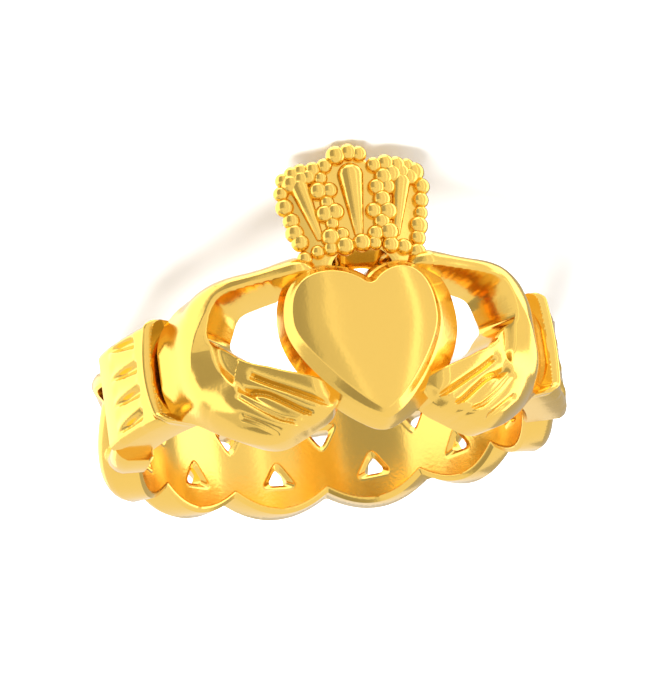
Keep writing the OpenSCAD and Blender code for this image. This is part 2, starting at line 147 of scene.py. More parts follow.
# %% Which part of a cell is kept
# For each pattern of inside corners of a cell: the polygons that are kept. 0 to 3 are the
# cell's corners, anticlockwise, and 4 to 7 the crossings on the edges that start at them.
CELL_CASES = {
    1: [(0, 4, 7)], 2: [(1, 5, 4)], 3: [(0, 1, 5, 7)], 4: [(2, 6, 5)],
    5: [(0, 4, 7), (2, 6, 5)], 6: [(1, 2, 6, 4)], 7: [(0, 1, 2, 6, 7)], 8: [(3, 7, 6)],
    9: [(0, 4, 6, 3)], 10: [(1, 5, 4), (3, 7, 6)], 11: [(0, 1, 5, 6, 3)], 12: [(2, 3, 7, 5)],
    13: [(0, 4, 5, 2, 3)], 14: [(1, 2, 3, 7, 4)], 15: [(0, 1, 2, 3)],
}
print(len(CELL_CASES), "patterns of a cell's corners leave metal")

# %% Grid points moved onto the cut
snap_share = 0.32


def snap(inside, angle, z):
    """Moves the grid points that lie within a third of a cell of the cut onto it, so that the
    cut has no slivers: the step is -d times the gradient over the gradient's square."""
    rise_i, rise_j = np.gradient(inside)
    steep = rise_i**2 + rise_j**2 + 1e-12
    step_i, step_j = -inside * rise_i / steep, -inside * rise_j / steep
    near = np.hypot(step_i, step_j) < snap_share
    cell_a, cell_z = angle[1, 0] - angle[0, 0], z[0, 1] - z[0, 0]
    return angle + np.where(near, step_i, 0) * cell_a, z + np.where(near, step_j, 0) * cell_z, near


print("points within", snap_share, "of a cell are moved onto the cut")


# %% Shares and edges
def mix(a, b, share):
    """The point or number at that share of the way from a to b: a + (b - a) share."""
    return a + (b - a) * share


def edge_ends(field, direction):
    """The values at the first and the second end of every grid edge of one direction."""
    return (field[:-1], field[1:]) if direction == 0 else (field[:, :-1], field[:, 1:])


print("half way from 1 to 4:", mix(1, 4, 0.5))


# %% A closed shell from a relief
def cut_shell(relief, angle, z, side=1):
    """Vertices and faces of the closed shell between a relief's outer and inner points, kept
    where its distance is not below zero. A crossing lies at the share d0 / (d0 - d1) of its
    edge. Along the cut, walls join the two. The side -1 gives the mirror image."""
    angle, z, near = snap(relief(angle, z)[2], angle, z)
    outer, inner, inside = relief(angle, z)
    inside = np.where(near, 0, inside)
    if side < 0:
        outer, inner, inside = outer[::-1] * (-1, 1, 1), inner[::-1] * (-1, 1, 1), inside[::-1]
    keep = inside >= 0
    own = np.cumsum(keep).reshape(keep.shape) - 1
    tops, bottoms, crossings, count = [outer[keep]], [inner[keep]], [], int(keep.sum())
    for direction in (0, 1):
        (d0, d1), (kept0, kept1), (own0, own1), (outer0, outer1), (inner0, inner1) = (
            edge_ends(field, direction) for field in (inside, keep, own, outer, inner)
        )
        crossed = kept0 != kept1
        on_point = crossed & (np.where(kept0, d0, d1) == 0)
        fresh = crossed & ~on_point
        share = (d0[fresh] / (d0[fresh] - d1[fresh]))[:, None]
        tops.append(mix(outer0[fresh], outer1[fresh], share))
        bottoms.append(mix(inner0[fresh], inner1[fresh], share))
        number = np.where(kept0, own0, own1)
        number[fresh] = count + np.arange(fresh.sum())
        crossings.append(number)
        count += int(fresh.sum())
    first, second = crossings
    cells = np.stack([
        own[:-1, :-1], own[1:, :-1], own[1:, 1:], own[:-1, 1:],
        first[:, :-1], second[1:], first[:, 1:], second[:-1],
    ], -1)
    case = keep[:-1, :-1] + 2 * keep[1:, :-1] + 4 * keep[1:, 1:] + 8 * keep[:-1, 1:]
    faces = []
    for pattern, polygons in CELL_CASES.items():
        for polygon in polygons:
            ids = cells[case == pattern][:, polygon]
            faces += ids.tolist() + (ids[:, ::-1] + count).tolist()
            for k, corner in enumerate(polygon):
                following = (k + 1) % len(polygon)
                if corner > 3 and polygon[following] > 3:
                    a, b = ids[:, k], ids[:, following]
                    faces += np.stack([b, a, a + count, b + count], -1)[a != b].tolist()
    faces = [face for face in (list(dict.fromkeys(face)) for face in faces) if len(face) > 2]
    return np.concatenate(tops + bottoms), faces


# %% A coin to try it on
def coin(x, y):
    """A disc of radius 1 and thickness 0.2: the distance inside is 1 - sqrt(x^2 + y^2)."""
    flat = np.stack([x, y, np.zeros(x.shape)], -1)
    return flat + (0, 0, 0.2), flat, 1 - np.hypot(x, y)


ticks = np.linspace(-1.1, 1.1, 23)
coin_points, coin_faces = cut_shell(coin, *np.meshgrid(ticks, ticks, indexing="ij"))
print("a coin of radius 1 on a grid of 0.1:", len(coin_faces), "faces, radius",
      round(float(np.hypot(*coin_points.T[:2]).max()), 4))


# %% A mesh object from upright points
def add_piece(name, points, faces, sharp=38):
    """A mesh object from upright millimetres: smooth, with edges over the sharp angle kept."""
    mesh = bpy.data.meshes.new(name)
    mesh.from_pydata(lay_down(points), [], faces)
    mesh.shade_smooth()
    mesh.set_sharp_from_angle(angle=np.radians(sharp))
    piece = bpy.data.objects.new(name, mesh)
    bpy.context.scene.collection.objects.link(piece)
    print(name, len(mesh.polygons), "faces")
    return piece


def closed_rows(rows, around):
    """Faces of a surface whose rows go round and whose two ends are single points: point 0,
    the rows one after the other, and the last point. Quads join each row to the next one,
    and triangles close the ends."""
    ids = 1 + np.arange(rows * around).reshape(rows, around)
    following = np.roll(ids, -1, 1)
    quads = np.stack([ids[:-1], following[:-1], following[1:], ids[1:]], -1).reshape(-1, 4)
    start = np.stack([np.zeros(around, int), following[0], ids[0]], -1)
    end = np.stack([ids[-1], following[-1], np.full(around, rows * around + 1)], -1)
    return quads, np.concatenate([start, end])


print("two rows of six close with", sum(len(kind) for kind in closed_rows(2, 6)), "faces")

# %% [markdown]
# ## Lines on the map
# The outlines of the hands could be drawn as Blender curves. Here they are a few points read
# off the photograph, on a flat map of the band: millimetres along the finger and millimetres
# round it. A smooth curve goes through them, and the distance of every grid point from it
# gives rims, ridges and grooves their even width.

# %% A curve through points
map_r = 12.0


def unroll(angle):
    """Millimetres round the ring for an angle, measured at the map's radius."""
    return np.radians(angle) * map_r


def map_line(points, closed=False, steps=6):
    """A curve through points of (degrees, millimetres): between two of them it is a cubic
    whose slope at each is half the way from the point before to the point after."""
    p = np.array([(unroll(angle), z) for angle, z in points], float)
    before = p[-1:] if closed else 2 * p[:1] - p[1:2]
    after = p[:2] if closed else 2 * p[-1:] - p[-2:-1]
    p = np.concatenate([before, p, after])
    t = np.linspace(0, 1, steps, endpoint=False)[None, :, None]
    a, b, c, d = (p[k : len(p) - 3 + k, None] for k in range(4))
    bend, turn = 2 * a - 5 * b + 4 * c - d, 3 * b - a - 3 * c + d
    curve = (0.5 * (2 * b + (c - a) * t + bend * t**2 + turn * t**3)).reshape(-1, 2)
    return curve if closed else np.concatenate([curve, p[-2:-1]])


print("the whole band is", round(float(unroll(360)), 1), "mm long on the map")


# %% Distances from a line
def distance(s, z, line, closed=False):
    """The distance from each point of the map to the line: the least over its stretches of
    the distance to the foot of the perpendicular, held between the stretch's ends."""
    ends = np.concatenate([line, line[:1]]) if closed else line
    best = np.full(s.shape, np.inf)
    for (x0, z0), (x1, z1) in zip(ends[:-1], ends[1:]):
        dx, dz = x1 - x0, z1 - z0
        t = np.clip(((s - x0) * dx + (z - z0) * dz) / (dx * dx + dz * dz), 0, 1)
        best = np.minimum(best, np.hypot(s - x0 - t * dx, z - z0 - t * dz))
    return best


def within(s, z, line):
    """True inside the closed line: a ray to the right crosses it an odd number of times."""
    odd = np.zeros(s.shape, bool)
    for (x0, z0), (x1, z1) in zip(line, np.roll(line, -1, 0)):
        if z0 != z1:
            odd ^= ((z0 > z) != (z1 > z)) & (s < x0 + (z - z0) / (z1 - z0) * (x1 - x0))
    return odd


def depth_inside(s, z, line):
    """Signed distance from a closed line, positive inside it."""
    return np.where(within(s, z, line), 1, -1) * distance(s, z, line, closed=True)


square = np.array([(-1.0, -1.0), (1.0, -1.0), (1.0, 1.0), (-1.0, 1.0)])
print("the middle of a 2 mm square is", depth_inside(np.zeros(1), np.zeros(1), square)[0],
      "mm inside its outline")


# %% Profiles of edges and shoulders
def ease(x):
    """0 below 0, 1 above 1, and 3x^2 - 2x^3 between: no slope at either end."""
    t = np.clip(x, 0, 1)
    return t * t * (3 - 2 * t)


def swell(x):
    """A rounded shoulder, 1 - (1 - x)^2.4: 0 at 0, 1 and level from 1 on. It goes on down a
    little below 0, so that a rim cut through it stays even."""
    return 1 - np.clip(1 - x, 0, 1.4) ** 2.4


def bevel(depth, width):
    """A straight chamfer: 1 at the edge, 0 one width inside, and on up to 2 outside."""
    return np.clip(1 - depth / width, 0, 2)


def soft_max(a, b, width):
    """The larger of two fields, with a rounded corner of that width where they cross."""
    h = np.clip(0.5 + 0.5 * (a - b) / width, 0, 1)
    return mix(b, a, h) + width * h * (1 - h)


print("half way up: ease", ease(0.5), "swell", round(float(swell(0.5)), 2), "bevel", bevel(0.5, 1))

# %% [markdown]
# ## The heart
# A puffed face in a narrow bright rim, and a side that slopes out to the band. A flat plate
# with the Bevel modifier would miss the swell that makes the reflections slide. The grid here
# runs round the outline and in to the middle, so that the rim is a row of edges and stays
# crisp. The swell is a function of the distance from the rim, so no crease runs in from the
# cleft.

# %% Outlines of the heart
heart_half, heart_up, heart_down, cleft = 3.6, 3.28, 4.3, 0.6
heart_flare = 0.75


def bezier(a, b, c, d, steps):
    """Cubic curve with end points a and d, pulled towards b and c."""
    t = np.linspace(0, 1, steps, endpoint=False)[:, None]
    u = 1 - t
    a, b, c, d = np.array([a, b, c, d], float)
    return u**3 * a + 3 * u * u * t * b + 3 * u * t * t * c + t**3 * d


def heart_line(half, up, down, dip, hips=0.28, steps=60):
    """A heart seen from the front: from the cleft over the right lobe to the tip as two
    cubics, then its mirror image back up."""
    waist = 0.2 * up
    over_lobe = (0.28 * half, up + 0.12 * half), (half, up + 0.18 * half)
    to_tip = (half, -hips * down), (0.25 * half, -down)
    lobe = bezier((0, up - dip), *over_lobe, (half, waist), steps)
    side = bezier((half, waist), *to_tip, (0, -down), steps)
    right = np.concatenate([lobe, side, [(0, -down)]])
    return np.concatenate([right, right[-2:0:-1] * (-1, 1)])[::-1]


def fuller_left(line, left, right):
    """The heart in the photograph is fuller on its left: each half has its own width."""
    return line * np.stack([np.where(line[:, 0] < 0, left, right), np.ones(len(line))], -1)


face_line = heart_line(heart_half, heart_up, heart_down, cleft)
foot_line = heart_line(heart_half + heart_flare, heart_up + 0.4, heart_down + 0.3, cleft, 0.42)
back_line = heart_line(heart_half, heart_up - 0.2, heart_down, cleft, 0.42)
face_line = fuller_left(face_line, 1.17, 0.95)
foot_line = fuller_left(foot_line, 1.0, 1.02)
back_line = fuller_left(back_line, 0.92, 1.02)
print("the heart's face is", np.ptp(face_line, 0).round(2), "mm wide and high")

# %% [markdown]
# ### Its face
# Stone-setters call such a face a cabochon: nearly flat in the middle, and falling faster and
# faster to the rim. Two formulas are easier to tune here than control points: a low dome,
# and a steep shoulder beside the rim. The lower of the two counts.

# %% Face of the heart
heart_edge, heart_swell = 11.55, 0.64
rim_w, chamfer_slope, shoulder_slope = 0.13, 0.9, 1.3
heart_bend = 0.02
dome_left, dome_right = 4.2, 3.42


def heart_face(x, z):
    """How far the polished face stands out in front of its rim: a steep narrow chamfer, a
    shoulder that rises at 52 degrees, and the low dome that it meets in a soft crease. All of
    it bends back with the band, by 0.02 x^2."""
    inset = distance(x, z, face_line, closed=True) - rim_w
    bow = 1 - 0.5 * (x / np.where(x < 0, dome_left, dome_right)) ** 2 - 0.5 * (z / heart_down) ** 2
    t = np.clip(inset / 1.6, 0, 1)
    dome = 0.16 * t * (2 - t) - 0.05 + (heart_swell - 0.11) * bow
    face = -soft_max(-shoulder_slope * np.maximum(inset, 0), -dome, 0.04)
    return face + chamfer_slope * np.minimum(inset, 0) - heart_bend * x**2


print("its middle stands", round(float(heart_face(np.zeros(1), np.zeros(1))[0]), 2),
      "mm in front of its rim")

# %% The heart's surface
heart_side = 1.1
heart_middle = np.array([0.0, -0.4])


def heart():
    """Rings from the middle of the back, over the bore's wall, the side, the rim and the
    face to the middle of the front."""
    back_shares = np.linspace(0, 1, 24)[1:, None, None]
    back = heart_middle + (back_line - heart_middle) * back_shares
    rows = [np.stack([b[:, 0], -np.sqrt(bore_r**2 - b[:, 0] ** 2), b[:, 1]], -1) for b in back]
    side_from, side_to = heart_edge - heart_side, heart_edge - chamfer_slope * rim_w
    for line, depth in (
        (mix(back_line, foot_line, 0.96), side_from - 0.05),
        (mix(foot_line, face_line, 0.04), side_from),
        (mix(foot_line, face_line, 0.5), mix(side_from, side_to, 0.5)),
        (mix(foot_line, face_line, 0.96), mix(side_from, side_to, 0.96)),
        (face_line, side_to),
    ):
        rows.append(np.stack([line[:, 0], heart_bend * line[:, 0] ** 2 - depth, line[:, 1]], -1))
    shares = 1 - np.concatenate([np.linspace(0, 0.3, 40)[1:], np.linspace(0.3, 1, 40)[1:]])
    for share in shares[:-1]:
        line = heart_middle + (face_line - heart_middle) * share
        rows.append(np.stack([line[:, 0], -(heart_edge + heart_face(*line.T)), line[:, 1]], -1))
    front = heart_edge + heart_face(*heart_middle[:, None])[0]
    first = np.array([[0, -bore_r, heart_middle[1]]])
    last = np.array([[0, -front, heart_middle[1]]])
    quads, ends = closed_rows(len(rows), len(foot_line))
    return np.concatenate([first] + rows + [last]), quads.tolist() + ends.tolist()


heart_piece = add_piece("heart", *heart(), sharp=24)

# %% [markdown]
# ## The hands
# Each hand is one relief: a rounded back that rises from the wrist to a ridge, a bevel down
# to the hollow of the hand, the palm, and four fingers that reach under the heart. Between
# the thumb, the palm and the first finger the metal is cut through. Modelling it with
# subdivided boxes would blur the ridge that catches the light, so the relief is a sum of
# profiles over the distances from a few lines.

# %% Lines of a hand
# All in degrees from the heart's middle and millimetres from the band's middle.
HAND_LINE = [
    (62, 2.35), (58, 2.42), (55, 2.56), (51, 3.0), (46, 3.34), (41.5, 3.66), (37, 3.82),
    (32, 3.88), (28, 3.88), (24, 3.96), (20, 4.1), (16, 4.15), (12, 3.7), (10.5, 2), (10.5, 0),
    (9.5, -2), (9.5, -2.6), (11, -3.2), (14, -3.75), (18, -4.1), (22, -4.4), (26, -4.65),
    (30, -4.65), (35, -4.32), (42, -3.6), (49.5, -2.65), (55, -2.15), (58, -1.95), (62, -1.9),
]
HOLLOW_LINE = [
    (8, 3.2), (14, 3.12), (20.1, 3.03), (24.4, 2.93), (29.5, 2.81), (34.5, 2.64), (36.9, 2.21),
    (38.7, 1.47), (39.3, 0.94), (39.3, -0.03), (38.3, -0.77), (36.5, -1.27), (34.7, -1.71),
    (33.1, -2.33), (29.3, -3.03), (26.3, -3.51), (24.2, -3.8), (22.6, -3.93), (19.6, -4.24),
    (14, -4.8),
]
WINDOW_FLOOR = [
    (44, 1.4), (41, 0.9), (38.1, 0.5), (35.5, 0.12), (32.3, -0.45), (29, -0.85), (26, -1.1),
    (22.7, -1.41), (19, -1.7), (14, -2.1), (8, -2.5),
]
PALM_LINE = [
    (33.1, -0.45), (34.1, -0.94), (34.6, -1.53), (33.6, -2.0), (32.9, -2.3), (34.7, -1.71),
    (36.5, -1.27), (38.3, -0.77), (39.4, -0.03), (39.6, 0.94), (38.1, 1.2), (35.5, 0.5),
]
FINGER_LINES = [
    [(30.2, -1.42), (26.2, -1.94), (21.6, -2.46), (17.1, -2.97), (12.6, -3.45)],
    [(32.8, -2.09), (27.8, -2.38), (23.6, -2.93), (19.1, -3.58), (16.7, -3.8)],
    [(33.1, -2.33), (29.3, -3.03), (26.3, -3.51), (24.2, -3.8), (22.6, -3.93), (19.6, -4.24)],
    [(33, -3.37), (29.5, -3.8), (26.1, -4.29)],
]
hand_line = map_line(HAND_LINE, closed=True)
hollow_line = map_line(HOLLOW_LINE)
window_floor = map_line(WINDOW_FLOOR)
palm_line = map_line(PALM_LINE, closed=True, steps=3)
finger_lines = [map_line(line, steps=4) for line in FINGER_LINES]
print("a hand's outline has", len(hand_line), "points, its fingers' grooves",
      sum(len(line) for line in finger_lines))

# %% [markdown]
# ### Their relief
# Every line gives a field: how far a point lies from it. The back of the hand, the fingers
# and the palm are each a height made from such fields, and they are blended where they meet.
# The same fields cut the metal, so the window's rim follows the thumb and the first finger.

# %% Back of the hand
# Heights over the bore's wall, in millimetres.
hand_crest, wrist_crest, hand_edge, pocket_wall = 2.72, 2.05, 1.4, 1.35
# Degrees: here the crest begins to sink to the wrist and to the thumb's tip, and here the
# wrist sinks into the pocket under the cuff's mouth.
wrist_from, thumb_from, wrist_ends = 53, 33, 55.7
# The bevel down to the hollow is wide at the fingers and narrow along the thumb.
BEVEL_HEIGHTS = [-2.5, -0.8, -0.2, 0.3, 1.4, 2.0]
BEVEL_WIDTHS = [1.4, 1.3, 1.0, 0.86, 0.35, 0.18]


def groove(gap, depth, width):
    """A bell-shaped cut of that depth, on a shallow one that is three times as wide."""
    wide = 3 * width
    return depth * np.exp(-((gap / width) ** 2)) + 0.35 * depth * np.exp(-((gap / wide) ** 2))


def hand_back(angle, z, rim, body, crease):
    """Height of the back: it swells from the outer edge to the crest, falls in a straight
    bevel to the hollow, has one crease above the last finger, and sinks at the wrist."""
    round_w = np.clip(0.8 * (np.maximum(rim, 0) + np.maximum(body, 0)), 0.35, 2.1)
    crest = mix(wrist_crest, hand_crest, ease((wrist_from - angle) / 11))
    crest = crest - 0.35 * ease((thumb_from - angle) / 14)
    back = mix(hand_edge, crest, swell(rim / round_w))
    bevel_w = np.interp(z, BEVEL_HEIGHTS, BEVEL_WIDTHS)
    fall = np.minimum(0.42 * bevel_w, 0.4) * np.clip(1 - body / bevel_w, 0, 1)
    back = back - fall * ease((z + 2.4) / 1.5) - groove(crease, 0.16, 0.12)
    return mix(back, pocket_wall, ease((angle - wrist_ends) / 1.2))


print("the back rises from", hand_edge, "to", hand_crest, "mm over the bore's wall")

# %% Fingers and palm
finger_wall, palm_wall = 2.3, 1.9


def hand_fingers(s, z, rim, gap):
    """Height of the fingers: level, with a groove between them and a rounded outer edge, and
    of the lower palm beside them."""
    finger = finger_wall - groove(gap, 0.24, 0.12)
    finger = np.minimum(finger, mix(hand_edge, finger_wall + 0.1, swell(rim / 0.8)))
    return mix(finger, palm_wall, ease(depth_inside(s, z, palm_line) / 0.12 + 0.5))


print("fingers", finger_wall, "mm and palm", palm_wall, "mm over the bore's wall")

# %% Two hands
finger_end, wrist_end = 9, 61.4
heart_wall = 1.6


def side_of(s, z, line, far):
    """Signed distance from an open line, positive on the side away from the far points
    that close it."""
    closed = np.concatenate([line, far])
    return np.where(within(s, z, closed), -1, 1) * distance(s, z, line)


def hand_relief(angle, z):
    """Outer and inner points, and the distance inside the metal: the least of the distances
    inside the outline, outside the window and before the wrist's end. The fingers meet the
    back along the hollow's line, and both run down to the wall that carries the heart."""
    s = unroll(angle)
    rim = depth_inside(s, z, hand_line)
    body = side_of(s, z, hollow_line, np.array([(0, -5.6), (0, 3.2)]))
    gaps = [distance(s, z, line) for line in finger_lines]
    back = hand_back(angle, z, rim, body, gaps[3])
    fingers = hand_fingers(s, z, rim, np.minimum(gaps[0], gaps[1]))
    height = mix(fingers, back, ease(body / 0.38 + 1)) - groove(gaps[2], 0.2, 0.12)
    height = mix(heart_wall, height, ease((s - unroll(finger_end)) / 1.6))
    opening = side_of(s, z, window_floor, np.array([(0, 6), (unroll(44), 6)]))
    window = soft_max(body, opening, 0.25)
    height -= 0.09 * bevel(window, 0.09)
    inside = np.minimum(np.minimum(rim, window), unroll(wrist_end - angle))
    heart_depth = depth_inside(bore_r * np.sin(np.radians(angle)), z, foot_line)
    inner_r = bore_r + 0.2 * bevel(window, 0.3) + 0.15 * bevel(rim, 0.15)
    inner_r = inner_r + 0.3 * ease(heart_depth / 0.1)
    inner_z = z - 0.42 * ease((z - 0.6) / 1.4) * ease(1.1 - window / 1.2)
    return on_ring(angle, bore_r + height, z), on_ring(angle, inner_r, inner_z), inside


def grid(angles, heights, cell):
    """A grid of angles and heights that covers two ranges with square cells of that size."""
    n = int(np.ceil(unroll(angles[1] - angles[0]) / cell))
    m = int(np.ceil((heights[1] - heights[0]) / cell))
    return np.meshgrid(np.linspace(*angles, n + 1), np.linspace(*heights, m + 1), indexing="ij")


hand_grid = grid((7, 61.8), (-5.1, 4.4), 0.05)
hand_right = add_piece("hand_right", *cut_shell(hand_relief, *hand_grid))
hand_left = add_piece("hand_left", *cut_shell(hand_relief, *hand_grid, side=-1))

# %% [markdown]
# ## The cuffs
# A ridged sleeve with a turned-back rim that curves round the wrist. Its grooves are cut like
# strokes of a graver: wide and square at the rim, running out to a point. They could be cut
# out with booleans. Taken off the relief instead, they leave no seam in the polished sleeve.

# %% Sleeve and grooves
cuff_low, cuff_high, cuff_wall, cuff_to = -2.3, 2.85, 2.2, 79.5
leaf_from, leaf_to, leaf_half, leaf_depth = 62.0, 74.5, 0.42, 0.36
# Height of each groove's root at the rim, and of its point.
LEAVES = [(2.16, 2.44), (0.96, 0.96), (-0.23, -0.36), (-1.37, -1.72)]
ridge_rise, ridge_pitch = 0.05, 1.2


def leaf_grooves(angle, z):
    """Depth cut off the sleeve. Each groove is (1 - x^2)^2 across, and as wide as
    (1 - length)^0.6 along; a cosine lowers the metal a little along the grooves."""
    length = np.clip((angle - leaf_from) / (leaf_to - leaf_from), -1, 1)
    ends = ease(length * 8) * ease(2 - 2 * length)
    stroke = np.zeros(angle.shape)
    for root, tip in LEAVES:
        half = leaf_half * np.clip(1 - length, 0, 1) ** 0.6 + 0.02
        off = (z - mix(root, tip, length)) / half
        stroke = np.maximum(stroke, leaf_depth * np.clip(1 - off**2, 0, 1) ** 2 * ends)
    ridges = np.cos(2 * np.pi * (z - 0.36) / ridge_pitch)
    return stroke + ridge_rise * ridges * ease(length * 6) * ease(4 - 4 * length)


print(len(LEAVES), "grooves on each cuff,", leaf_depth, "mm deep")

# %% Two cuffs
rim_span, rim_rise, rim_sink = 3.0, 0.32, 0.2


def cuff_mouth(z):
    """Angle of the rim's front edge: a bow that comes forward towards both ends."""
    return 57.1 - 1.8 * ((z - 0.25) / 2.1) ** 2 - 1.2 * ease((-1.75 - z) / 0.5)


def cuff_relief(angle, z):
    """Outer and inner points: a level sleeve, less its grooves, plus a rounded rim along its
    mouth. The rim is 1 - x^2 across and sinks a little below the sleeve at its front."""
    mouth = cuff_mouth(z)
    edge = np.minimum(z - cuff_low, cuff_high - z)
    inside = np.minimum(edge, unroll(np.minimum(angle - mouth, cuff_to + 0.3 - angle)))
    across = (angle - mouth) / rim_span * 2 - 1
    rim = (rim_rise + rim_sink) * np.clip(1 - across**2, -0.4, 1) - rim_sink
    rim = np.where(across < 1, np.maximum(rim, -rim_sink * ease((across + 1) * 9)), 0)
    height = cuff_wall - leaf_grooves(angle, z) + rim - 0.4 * (1 - swell(edge / 0.45))
    inner_r = bore_r + 0.15 * bevel(edge, 0.15)
    return on_ring(angle, bore_r + height, z), on_ring(angle, inner_r, z), inside


cuff_grid = grid((51, cuff_to + 0.8), (cuff_low - 0.2, cuff_high + 0.2), 0.05)
cuff_right = add_piece("cuff_right", *cut_shell(cuff_relief, *cuff_grid))
cuff_left = add_piece("cuff_left", *cut_shell(cuff_relief, *cuff_grid, side=-1))

# %% [markdown]
# ## The plait
# Three flat strands cross over and under round the back of the finger. They could be three
# curves with a bevel, but as separate strands they would leave gaps that the casting doesn't
# have. So the plait is one relief: at each point the highest strand counts. Where the strands
# leave a triangle between them, the metal is cut through.

# %% Height of the strands
plait_wall, plait_w, crests = 2.08, 5.8, 12
strand_w, strand_dip, strand_round, strand_slope, pocket_floor = 1.5, 0.35, 0.5, 1.2, 0.55
plait_middle = 185.0
strand_swing = (plait_w - strand_w) / 2
strand_turns = crests / 3


def strands(angle, z):
    """Height of the highest strand, and the distance from the wavy edges. Strand k swings as
    a cosine, a third of a turn after the one before, and lies on top twice in each swing.
    Across, a strand falls as x^2, and beyond its edge in a straight slope."""
    best, top, bottom = pocket_floor, -9.0, -9.0
    for k in range(3):
        phase = np.radians(strand_turns * (angle - plait_middle) + 120 * k)
        middle = -strand_swing * np.cos(phase)
        slant = np.hypot(1, strand_swing * strand_turns / (bore_r + plait_wall) * np.sin(phase))
        half = strand_w / 2 * slant
        x = np.abs(z - middle) / half
        strand = plait_wall - strand_dip * (1 - np.sin(2 * phase)) / 2
        strand = strand - strand_round * np.minimum(x, 1) ** 2 - strand_slope * np.maximum(x - 1, 0)
        best = np.maximum(best, strand)
        top = np.maximum(top, (middle + half - z) / slant)
        bottom = np.maximum(bottom, (z - middle + half) / slant)
    return best, np.minimum(top, bottom)


print("three strands of", strand_w, "mm swing", round(strand_swing, 2), "mm to each side")

# %% Triangles through the plait
pierce_l, pierce_h, gap_l, gap_h = 1.45, 1.05, 1.9, 1.8
mid_r = bore_r + plait_wall / 2
hole_foot = strand_swing - strand_w / 2
nowhere = 9.0


def from_cuff(angle):
    """Degrees from the nearer cuff's end to a place on the plait."""
    return np.minimum(angle, 360 - angle) - cuff_to


def pierced(angle, z):
    """Distance outside the nearest hole. Each is the largest of the distances from its three
    sides, with rounded corners. The holes stand in two rows, one under each row of crests,
    and one larger triangle lies beside each cuff."""
    pitch = 360 / crests
    slant = pierce_l / 2 / pierce_h
    hole = np.full(angle.shape, nowhere)
    for middle, side in ((plait_middle, -1), (plait_middle + pitch / 2, 1)):
        nearest = np.round((angle - middle) / pitch) * pitch + middle
        across = np.abs(np.radians(angle - nearest)) * mid_r
        reach = side * z
        sides = (across - slant * (reach - hole_foot + pierce_h)) / np.hypot(1, slant)
        triangle = soft_max(sides, reach - hole_foot, 0.35)
        triangle = soft_max(triangle, hole_foot - pierce_h - reach, 0.35)
        shown = np.abs(nearest - 180) < 180 - cuff_to - pitch / 5
        hole = np.minimum(hole, np.where(shown, triangle + 0.03, nowhere))
    past = np.radians(from_cuff(angle)) * mid_r
    steep = np.hypot(1, gap_h / gap_l)
    gap = soft_max((hole_foot - gap_h * (1 - past / gap_l) - z) / steep, z - hole_foot, 0.3)
    return np.minimum(hole, gap)


print("triangles of", pierce_l, "x", pierce_h, "mm, and of", gap_l, "x", gap_h, "mm by the cuffs")

# %% One plait


def plait_relief(angle, z):
    """Outer and inner points of the plait, and the least of the distances inside its edges,
    outside its holes and inside its two ends. All edges have a small chamfer."""
    height, edge = strands(angle, z)
    rim = np.minimum(edge, pierced(angle, z))
    inside = np.minimum(rim, unroll(from_cuff(angle) + 0.6))
    outer_r = bore_r + (height - 0.12 * bevel(rim, 0.15))
    inner_r = bore_r + 0.18 * bevel(rim, 0.22) + 0.15 * ease(-from_cuff(angle) / 0.3)
    return on_ring(angle, outer_r, z), on_ring(angle, inner_r, z), inside


plait_reach = plait_w / 2 + 0.3
plait_grid = grid((cuff_to - 0.9, 360 - cuff_to + 0.9), (-plait_reach, plait_reach), 0.075)
plait_piece = add_piece("plait", *cut_shell(plait_relief, *plait_grid))

# %% [markdown]
# ## The crown
# A fan of three smooth ribs between columns of beads, under three beaded arches. Its plate is
# one more shell, cut along the fan's outline. An outline curve with Extrude would do for a
# flat plate, but this one is bent with the band and has a hollow under its middle.

# %% Outline of the crown
crown_foot, crown_top, crown_foot_half, crown_half = 3.9, 9.5, 2.95, 3.75
rib_w, bead_d = 1.3, 0.82
bead_r = bead_d / 2
crown_shoulder = mix(crown_foot, crown_top, 0.62)
crown_valley = mix(crown_foot, crown_top, 0.78)
crown_peak = crown_top - bead_r - 0.05
hollow_half, hollow_up, crown_skirt = 1.55, 1.1, 0.6
crown_left = 0.96


def arch(start, end, rise, count):
    """Points of a bow: evenly along the chord, lifted by rise times 4t(1-t)."""
    t = np.linspace(0, 1, count)[:, None]
    return mix(np.array(start), np.array(end), t) + np.array([0, rise]) * 4 * t * (1 - t)


outer_from = (crown_half * 0.97, mix(crown_shoulder, crown_valley, 0.4))
fan_right = np.concatenate([
    [(crown_foot_half, crown_foot - crown_skirt), (crown_foot_half, crown_foot + 0.5)],
    [(crown_half, crown_shoulder)],
    arch(outer_from, (crown_half * 0.38, crown_valley), 0.32, 8),
])
middle_from, middle_rise = crown_half * 0.34, crown_peak - crown_valley
middle_arch = arch((middle_from, crown_valley), (-middle_from, crown_valley), middle_rise, 12)
fan_line = np.concatenate([fan_right, middle_arch, fan_right[::-1] * (-crown_left, 1)])
print("the fan is", np.ptp(fan_line, 0).round(2), "mm wide and high")

# %% Crown plate
crown_back, crown_wall = 0.4, 1.2
crown_in_r = bore_r + crown_back
crown_r = crown_in_r + crown_wall


def crown_relief(angle, z):
    """The fan's shell, cut along the fan's outline and along the arch under its middle. The
    hollow's ceiling slopes down towards the finger."""
    x = np.radians(angle) * crown_r
    under = np.hypot(x / hollow_half, (z - crown_foot + crown_skirt) / hollow_up) - 1
    inside = np.minimum(depth_inside(x, z, fan_line), under)
    outer_r = crown_r - 0.05 - 0.1 * bevel(inside, 0.15)
    inner_r = crown_in_r + 0.15 * bevel(inside, 0.15)
    inner_z = z - 0.85 * ease(1 - under / 0.8) * ease((z - crown_foot) / 0.4)
    return on_ring(angle, outer_r, z), on_ring(angle, inner_r, inner_z), inside


crown_grid = grid((-21, 21), (crown_foot - 0.9, crown_top + 0.2), 0.07)
crown_piece = add_piece("crown_plate", *cut_shell(crown_relief, *crown_grid))

